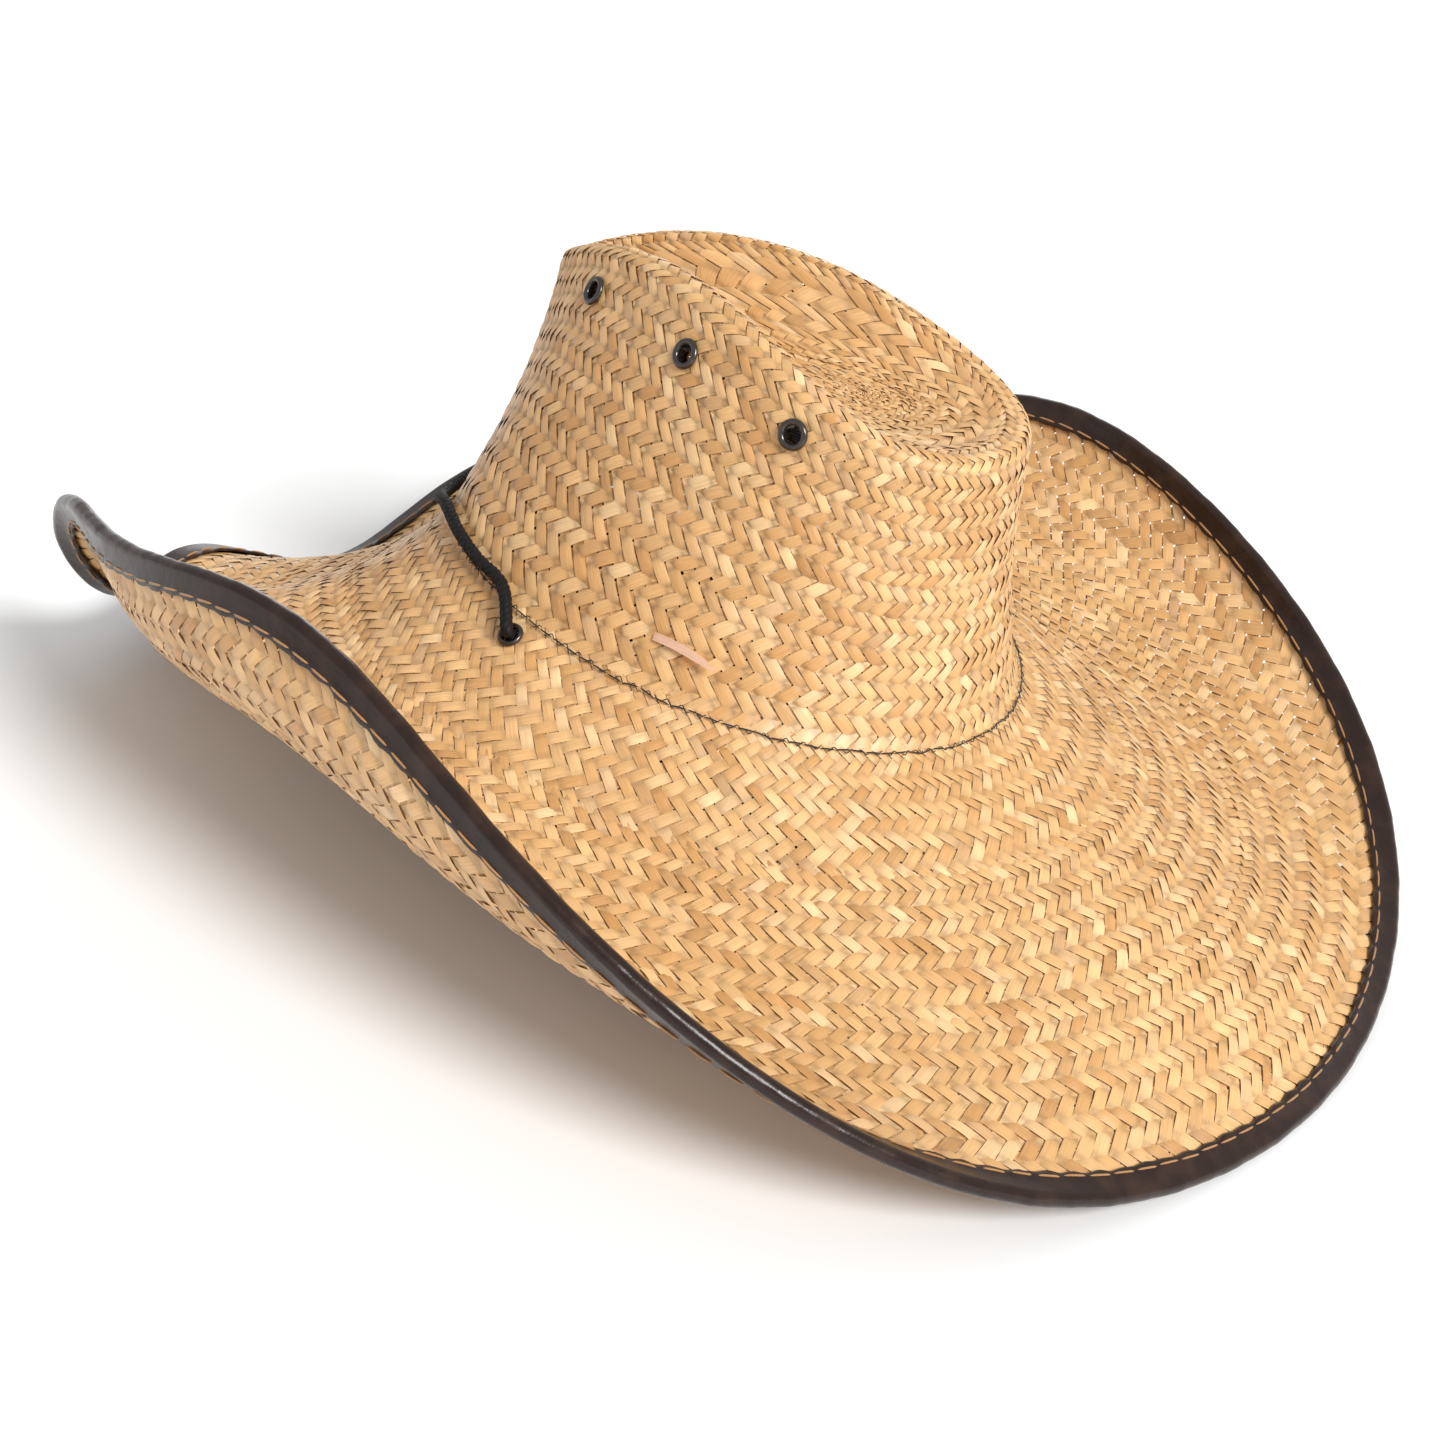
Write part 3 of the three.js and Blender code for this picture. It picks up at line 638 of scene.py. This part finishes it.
def edge_surface(phi, e, n):
    """Points near the brim's edge: e outwards from the straw's edge, n above its upper side."""
    phi, e, n = np.broadcast_arrays(phi, e, n)
    column = (phi / TAU * AROUND).astype(int) % AROUND
    step = ROW_STEP[ROW_BRIM:, column].mean(0)
    row = LAST + np.minimum(e, 0) / step
    base = look_up(ROWS, phi, row)
    normal = unit(look_up(NORMALS, phi, row))
    out = unit(look_up(ALONG, phi, np.full_like(row, LAST)))
    return base + normal * n[..., None] + out * np.maximum(e, 0)[..., None]


STITCH_PITCH, STITCH_STEPS = 9.6, 10
STITCHES = int(ROW_GIRTH[LAST] / STITCH_PITCH)
BINDING_AROUND = STITCHES * STITCH_STEPS
TAPE_RISE = 1.15


def binding_section():
    """Points round the folded tape, from its upper hem over the bead to its lower hem and back inside."""
    middle = -STRAW / 2
    bead = [(1.35 + 2.65 * math.cos(a), middle + 2.75 * math.sin(a)) for a in np.linspace(1.75, -1.75, 13)]
    upper = [(-TAPE_DEPTH, 0.55)]
    upper += [(e, TAPE_RISE) for e in (-TAPE_DEPTH + 0.3, -SEAM_FROM_EDGE, -3.4, -2.0)]
    lower = [(e, -STRAW - n) for e, n in reversed(upper)]
    hem, fold = -TAPE_DEPTH + 0.1, 0.2
    inside = [(hem, -STRAW - 0.3), (fold, -STRAW - 0.3), (fold, 0.3), (hem, 0.3)]
    return np.array(upper + bead + lower + inside)


def add_binding():
    """The folded tape, with a hem that scallops at the stitches."""
    section = binding_section()
    count = len(section)
    phi = np.arange(BINDING_AROUND) * TAU / BINDING_AROUND
    stitch = np.arange(BINDING_AROUND) / STITCH_STEPS
    e = np.repeat(section[None, :, 0], BINDING_AROUND, 0)
    n = np.repeat(section[None, :, 1], BINDING_AROUND, 0)
    hem = np.clip((-e - 2.6) / 3.0, 0, 1)
    scallop = 0.28 * np.cos(TAU * stitch) + 0.35 * smooth_noise(phi, 0.16, 3)
    scallop += 0.12 * smooth_noise(phi, 0.05, 4)
    e += hem * scallop[:, None]
    pucker = np.clip(smooth_noise(phi, 0.75, 5, 4) - 0.15, 0, 1)
    crimp = pucker * np.abs(np.sin(TAU * stitch * 0.5 + 3 * smooth_noise(phi, 0.3, 6)))
    dip = 0.30 * np.cos(TAU * stitch) ** 2
    swell = (0.55 * crimp[:, None] - 0.18 * dip[:, None]) * hem
    outward = np.sign(n + STRAW / 2)
    shell = np.abs(n + STRAW / 2) > STRAW / 2 + 0.4
    n += np.where(shell, swell * outward, 0)
    ripple = 0.16 * smooth_noise(phi, 0.11, 8)[:, None] * np.clip((e + 3) / 4, 0, 1)
    e += ripple
    points = stand(edge_surface(phi[:, None], e, n))
    points[..., 2] = np.maximum(points[..., 2], 0.0001)
    faces = quads_of_grid(BINDING_AROUND, count, True, True)
    add_mesh("edge_tape", points, faces, MATERIALS["binding"], replaces=("brim_binding",))


def stitch_row(name, count, place, radius, material, replaces, sides=6, steps=7):
    """One short thread for each stitch. place(k, t) gives the thread's line for stitches k at shares t."""
    t = np.linspace(0, 1, steps)
    line = place(np.arange(count)[:, None], t[None, :])
    along = unit(np.gradient(line, axis=1))
    side = unit(np.cross(along, np.array([0.13, 0.21, 0.97])))
    up = np.cross(along, side)
    girth = radius * np.sqrt(np.clip(1 - (2 * t - 1) ** 6, 0.06, 1))
    a = np.arange(sides) * TAU / sides
    ring = np.cos(a)[:, None] * side[:, :, None, :] + np.sin(a)[:, None] * up[:, :, None, :]
    points = line[:, :, None, :] + ring * girth[None, :, None, None]
    one = quads_of_grid(steps, sides, False, True)
    faces = (one[None] + (np.arange(count) * steps * sides)[:, None, None]).reshape(-1, 4)
    add_mesh(name, stand(points), faces, material, replaces=replaces)


def add_binding_seams():
    """The tan thread of the tape's one seam, on its upper and lower side."""
    for name, node, side in (("upper", "binding_stitch_top", 1), ("lower", "binding_stitch_under", -1)):
        jitter = rng.normal(0, 0.12, STITCHES)

        def line(k, t, side=side, jitter=jitter):
            phi = (k + 0.08 + 0.84 * t) * TAU / STITCHES
            e = -SEAM_FROM_EDGE + jitter[k] + 0.25 * (t - 0.5)
            lift = TAPE_RISE + 0.34 * np.sin(math.pi * t) ** 0.5 - 0.12
            n = lift if side > 0 else -STRAW - lift
            return edge_surface(phi, e, n)

        thread = MATERIALS["tan_thread"]
        stitch_row(f"binding_seam_{name}", STITCHES, line, 0.36, thread, (node,))


def add_crown_seam():
    """The black thread at the foot of the crown: uneven stitches that wander and cross."""
    count = 118
    shift = rng.normal(0, 0.5, count + 1)
    shift[-1] = shift[0]

    def line(k, t):
        phi = (k + 0.03 + 0.94 * t) * TAU / count
        row = ROW_BASE + 0.62 * BASE_ROWS + (shift[k] * (1 - t) + shift[k + 1] * t) * 0.45
        return surface(phi, row, 0.05 + 0.42 * np.sin(math.pi * t) ** 0.6)

    def loop(k, t):
        phi = (k + 0.45 + 0.75 * t) * TAU / count
        row = ROW_BASE + 0.62 * BASE_ROWS + 1.1 * np.sin(TAU * t + shift[k] * 3) * 0.6
        return surface(phi, row, 0.1 + 0.55 * np.sin(math.pi * t) ** 0.6)

    thread = MATERIALS["black_thread"]
    stitch_row("crown_seam", count, line, 0.26, thread, ("crown_stitch",))
    stitch_row("crown_seam_loops", count, loop, 0.19, thread, ("crown_stitch",))


# ---- eyelets

def turned(profile, centre, axis, segments=40):
    """A closed profile of (radius, height) turned about an axis: points and faces."""
    side = unit(np.cross(axis, np.array([0.3, 0.5, 0.81])))
    other = np.cross(axis, side)
    a = np.arange(segments) * TAU / segments
    spoke = np.cos(a)[:, None] * side + np.sin(a)[:, None] * other
    profile = np.array(profile)
    points = centre + spoke[:, None, :] * profile[None, :, 0, None] + axis * profile[None, :, 1, None]
    return points, quads_of_grid(segments, len(profile), True, True)


def add_eyelets():
    """Each eyelet is a domed flange with a barrel rolled over a flat washer on the inside."""
    for name, (p, n, _) in EYELETS.items():
        cord = name.startswith("cord")
        hole, flange = (CORD_HOLE, CORD_FLANGE) if cord else (VENT_HOLE, VENT_FLANGE)
        middle, half = (hole + flange) / 2, (flange - hole) / 2
        dome = [(middle + half * math.cos(a), 0.25 + 1.15 * math.sin(a)) for a in np.linspace(0, math.pi, 9)]
        wall = hole + EYELET_WALL
        rolled = [(wall + 0.8, -4.1), (wall + 1.0, -3.8), (wall + 0.7, -3.5)]
        barrel = [(hole, -4.1)] + rolled + [(wall, -3.5), (wall, 0.2)]
        points, faces = turned(dome + barrel, p, n)
        add_mesh(f"eyelet_ring_{name}", stand(points), faces, MATERIALS["black_metal"],
                 replaces=(f"eyelet_{name}",))
        inner = wall + 0.3
        rim = (flange, (WASHER_TOP + WASHER_BOTTOM) / 2)
        outer = [(flange - 0.2, WASHER_TOP), rim, (flange - 0.2, WASHER_BOTTOM)]
        plate = [(inner, WASHER_TOP)] + outer + [(inner, WASHER_BOTTOM)]
        points, faces = turned(plate, p, n)
        add_mesh(f"eyelet_washer_{name}", stand(points), faces, MATERIALS["black_metal"],
                 replaces=(f"washer_{name}",))


# ---- cord

def smooth_path(points, step):
    """An even, smooth path through a given route, by Catmull-Rom pieces."""
    p = np.asarray(points, float)
    p = np.concatenate([[2 * p[0] - p[1]], p, [2 * p[-1] - p[-2]]])
    fine = []
    for k in range(1, len(p) - 2):
        t = np.linspace(0, 1, 24, endpoint=False)[:, None]
        a, b, c, d = p[k - 1: k + 3]
        fine.append(0.5 * (2 * b + (c - a) * t + (2 * a - 5 * b + 4 * c - d) * t ** 2
                           + (3 * b - a - 3 * c + d) * t ** 3))
    fine = np.concatenate(fine + [p[-2][None]])
    walked = np.concatenate([[0], np.cumsum(np.linalg.norm(np.diff(fine, axis=0), axis=1))])
    even = np.linspace(0, walked[-1], max(4, int(walked[-1] / step)))
    return np.stack([np.interp(even, walked, fine[:, k]) for k in range(3)], 1)


# Yarns each way round the braid, the length of one turn in radii, and how deep the braid is cut, as shares.
YARNS = 4
BRAID_LEAD = 4.6
BRAID_CORE, BRAID_RELIEF = 0.68, 0.34


def braided_tube(path, radius, sides=24):
    """A round braid of eight yarns: points and faces. Four yarns wind each way and cross over and under."""
    along = unit(np.gradient(path, axis=0))
    side = np.empty_like(path)
    side[0] = unit(np.cross(along[0], [0.2, 0.3, 0.93]))
    for k in range(1, len(path)):
        side[k] = unit(side[k - 1] - along[k] * (side[k - 1] @ along[k]))
    up = np.cross(along, side)
    walked = np.concatenate([[0], np.cumsum(np.linalg.norm(np.diff(path, axis=0), axis=1))])
    a = np.arange(sides) * TAU / sides
    lead = radius * BRAID_LEAD
    u = YARNS * a[None, :] / TAU + YARNS * walked[:, None] / lead
    v = YARNS * a[None, :] / TAU - YARNS * walked[:, None] / lead
    yarn_u = np.abs(np.sin(math.pi * u)) ** 0.6
    yarn_v = np.abs(np.sin(math.pi * v)) ** 0.6
    weave = np.where((np.floor(u) + np.floor(v)) % 2 == 0, yarn_u, yarn_v)
    girth = radius * (BRAID_CORE + BRAID_RELIEF * weave)
    girth[0] *= 0.5
    girth[-1] *= 0.5
    ring = np.cos(a)[None, :, None] * side[:, None, :] + np.sin(a)[None, :, None] * up[:, None, :]
    return path[:, None, :] + ring * girth[..., None], quads_of_grid(len(path), sides, False, True)


def front_route():
    """From eyelet to eyelet round the front of the crown, in the corner between wall and brim."""
    ends = [EYELETS["cord_left"], EYELETS["cord_right"]]
    route = [stand(ends[0][0] + ends[0][1] * h) for h in (1.9, 4.2)]
    reach = math.radians(CORD_EYELET_PHI - 7)
    for phi in np.linspace(reach, -reach, 17):
        p, n, _ = frame_at(phi, ROW_BASE + 0.4 * BASE_ROWS)
        route.append(stand(p + n * (CORD_RADIUS + CORD_CLEAR)))
    return route + [stand(ends[1][0] + ends[1][1] * h) for h in (4.2, 1.9)]


SLIDE_X, LACE_Z, KNOT_Y = 4.0, 3.0, -58
# In metres, like the routes it walks along.
CORD_STEP = 0.00055


def drop_route(sign, name):
    """Below its eyelet the cord hangs to the table, lies in a bow under the crown and runs to the knot."""
    p, n = EYELETS[name][0], EYELETS[name][1]
    p, n = stand(p) / MM, stand_direction(n)
    lie = CORD_RADIUS + 0.7
    y = p[1]
    laid = [
        (76, y - 1, p[2] - 16), (73.5, y, p[2] - 30), (72, y + 1, 34), (71, y + 3, 18), (69, y + 8, 7),
        (67, y + 18, lie), (66, y + 32, lie), (63, y + 50, lie), (56, y + 68, lie), (44, y + 83, lie),
        (29, y + 91, lie), (15, y + 90, lie), (6.5, y + 81, LACE_Z), (SLIDE_X, y + 67, LACE_Z),
        (SLIDE_X, 12, LACE_Z), (SLIDE_X, -10, LACE_Z), (SLIDE_X, -35, LACE_Z),
        (SLIDE_X, KNOT_Y + 7.3, LACE_Z),
    ]
    route = [p + n * d for d in (1.5, -2, -6)]
    route += [np.array([MIDDLE_X + sign * x, y, z]) for x, y, z in laid]
    return np.array(route) * MM


def add_cord_piece(name, node, route):
    path = smooth_path(route, CORD_STEP)
    points, faces = braided_tube(path, CORD_RADIUS * MM)
    piece = add_mesh(name, points, faces, MATERIALS["cord"], replaces=(node,))


def add_knot():
    """A stopper knot, drawn as one closed trefoil of cord. The cords end a little short of it."""
    t = np.linspace(0, TAU, 260, endpoint=False)
    loop = np.stack([np.sin(t) + 2 * np.sin(2 * t), np.cos(t) - 2 * np.cos(2 * t), -np.sin(3 * t)], 1)
    loop = loop / np.array([3.0, 3.0, 1.0]) * np.array([6.6, 5.2, 2.7])
    path = (loop + np.array([MIDDLE_X, KNOT_Y + 0.2, 5.6])) * MM
    points, _ = braided_tube(np.concatenate([path, path[:1]]), 2.35 * MM, 18)
    points = points[:-1]
    points[0] = (points[1] + points[-1]) / 2
    faces = quads_of_grid(len(points), 18, False, True)
    return add_mesh("chin_cord_knot", points, faces, MATERIALS["cord"], replaces=("cord_knot",))


def add_slide():
    """A rounded wooden bead with two holes: one outline carried along the cord and drawn in at its ends."""
    half, height, depth = 9.0, 9.0, 14.0
    count = 48
    a = np.arange(count) * TAU / count
    power = 0.62
    outline = np.stack([
        half * np.sign(np.cos(a)) * np.abs(np.cos(a)) ** power,
        height / 2 + height / 2 * np.sign(np.sin(a)) * np.abs(np.sin(a)) ** power,
    ], 1)
    middle = np.array([0, height / 2])
    rings = []
    for share in np.linspace(-1, 1, 13):
        draw = 1 - 0.16 * abs(share) ** 6
        flat = (outline - middle) * draw + middle
        rings.append(np.stack([MIDDLE_X + flat[:, 0], np.full(count, share * depth / 2), flat[:, 1]], 1))
    points = np.stack(rings) * MM
    faces = quads_of_grid(len(rings), count, False, True)
    bead = add_mesh("cord_bead", points, faces, MATERIALS["bead"], "slide", ("cord_slide",))
    add_bead_ends(bead, depth)
    return bead


def add_bead_ends(bead, depth):
    """Closes each end of the bead round its two holes."""
    mesh = bead.data
    shape = bmesh.new()
    shape.from_mesh(mesh)
    radius = CORD_RADIUS + 0.4
    for end in (-1, 1):
        y = end * depth / 2
        edges = [e for e in shape.edges if e.is_boundary]
        edges = [e for e in edges if all(abs(v.co.y - y * MM) < 1e-6 for v in e.verts)]
        for side in (-1, 1):
            ring = []
            for k in range(24):
                a = k * TAU / 24
                x = MIDDLE_X + side * SLIDE_X + radius * math.cos(a)
                ring.append(shape.verts.new((x * MM, y * MM, (LACE_Z + radius * math.sin(a)) * MM)))
            edges += [shape.edges.new((ring[k], ring[(k + 1) % 24])) for k in range(24)]
        bmesh.ops.triangle_fill(shape, use_beauty=True, edges=edges)
    shape.to_mesh(mesh)
    shape.free()


# ---- sweatband, loose strip end, wire

def add_sweatband():
    """The band round the inside of the wall's foot, as one closed ring."""
    rows = np.linspace(ROW_BASE - 17, ROW_BASE - 0.5, 12)
    outer, inner = -STRAW - 0.5, -STRAW - 1.6
    row = np.concatenate([rows, rows[::-1]])
    height = np.concatenate([np.full(12, outer), np.full(12, inner)])
    height[[0, 11, 12, 23]] = (outer + inner) / 2
    phi = np.arange(360) * TAU / 360
    points = stand(surface(phi[:, None], row[None, :], height[None, :]))
    faces = quads_of_grid(360, 24, True, True)
    add_mesh("head_band", points, faces, MATERIALS["band"], replaces=("sweatband",))


def add_loose_end():
    """A strip end left long: it lifts off the wall, curls a little and is split at its tip."""
    phi = math.radians(112)
    p, n, e = frame_at(phi, wall_row(phi, 0.15))
    r = np.cross(n, e)
    half = 11.2
    t = np.linspace(-1, 1, 30)
    for number, side in enumerate((-1, 1)):
        width = 1.35 * (1 - 0.75 * np.clip(t, 0, 1) ** 3)
        low = np.minimum(0, side * width)
        high = np.maximum(0, side * width)
        split = side * 0.35 * np.clip(t - 0.55, 0, 1)
        across = np.stack([low, (low + high) / 2, high], 1) + split[:, None]
        lift = 0.4 + 1.5 * np.clip(t + 1, 0, 2) ** 0.7 - 0.5 * t ** 2
        droop = 0.8 + 1.3 * t + 0.9 * t ** 2
        line = p + r * (t * half)[:, None] + e * droop[:, None] + n * lift[:, None]
        points = line[:, None, :] + e * across[..., None]
        faces = quads_of_grid(30, 3)
        piece = add_mesh(f"loose_end_{number}", stand(points), faces, MATERIALS["straw"],
                         replaces=("loose_straw_end",))
        paint(piece, "tint_and_shade", np.tile((0.74, 0.47, 0.33), (90, 1)), "FLOAT_COLOR")
        length = np.repeat(t * half, 3)
        paint(piece, "fibre", np.stack([length, across.ravel() * 1.2, np.full(90, 3.1 * side)], 1))


def dress_wire():
    """The wire inside the bead keeps its CAD shape."""
    for slot in bpy.data.objects["brim_wire"].material_slots:
        slot.material = MATERIALS["wire"]


# ---- studio: places in metres, the sun's strength and spread, the glow's width and power

FLOOR_HALF_WIDTH = 40.0
SUN_FROM, SUN_STRENGTH, SUN_SPREAD = (0.40, 1.45, 1.30), 3.3, 24
GLOW_FROM, GLOW_WIDTH, GLOW_POWER = (-1.6, -1.1, 0.45), 1.2, 7
SKY_STRENGTH = 0.6


def add_floor():
    mesh = bpy.data.meshes.new("floor")
    far = FLOOR_HALF_WIDTH
    corners = [(-far, -far, 0), (far, -far, 0), (far, far, 0), (-far, far, 0)]
    mesh.from_pydata(corners, [], [(0, 1, 2, 3)])
    mesh.materials.append(floor_material())
    floor = bpy.data.objects.new("floor", mesh)
    bpy.context.collection.objects.link(floor)


def add_lamp(light, place):
    """A lamp that shines from a place towards the frame's origin."""
    lamp = bpy.data.objects.new(light.name, light)
    lamp.location = place
    lamp.rotation_euler = Vector(place).to_track_quat("Z", "Y").to_euler()
    bpy.context.collection.objects.link(lamp)


def add_sun():
    """An even light from one side, spread over some degrees so that its shadows are soft."""
    light = bpy.data.lights.new("key", "SUN")
    light.energy = SUN_STRENGTH
    light.angle = math.radians(SUN_SPREAD)
    add_lamp(light, SUN_FROM)


def add_glow():
    """A broad low light behind the hat that gives the straw its satin sheen."""
    light = bpy.data.lights.new("glow", "AREA")
    light.size = GLOW_WIDTH
    light.energy = GLOW_POWER
    add_lamp(light, GLOW_FROM)


def light_studio():
    world = bpy.data.worlds.new("studio")
    world.use_nodes = True
    background = world.node_tree.nodes["Background"]
    background.inputs["Color"].default_value = (1.0, 1.0, 1.0, 1)
    background.inputs["Strength"].default_value = SKY_STRENGTH
    bpy.context.scene.world = world
    add_sun()
    add_glow()
    bpy.context.scene.view_settings.view_transform = "Standard"


add_camera()
add_cord_piece("chin_cord_front", "cord_front", front_route())
knot = add_knot()
slide = add_slide()
add_cord_piece("chin_cord_left", "cord_left", drop_route(1, "cord_left"))
add_cord_piece("chin_cord_right", "cord_right", drop_route(-1, "cord_right"))
plait_hat()
add_binding()
add_binding_seams()
add_crown_seam()
add_eyelets()
add_sweatband()
add_loose_end()
dress_wire()
add_floor()
light_studio()
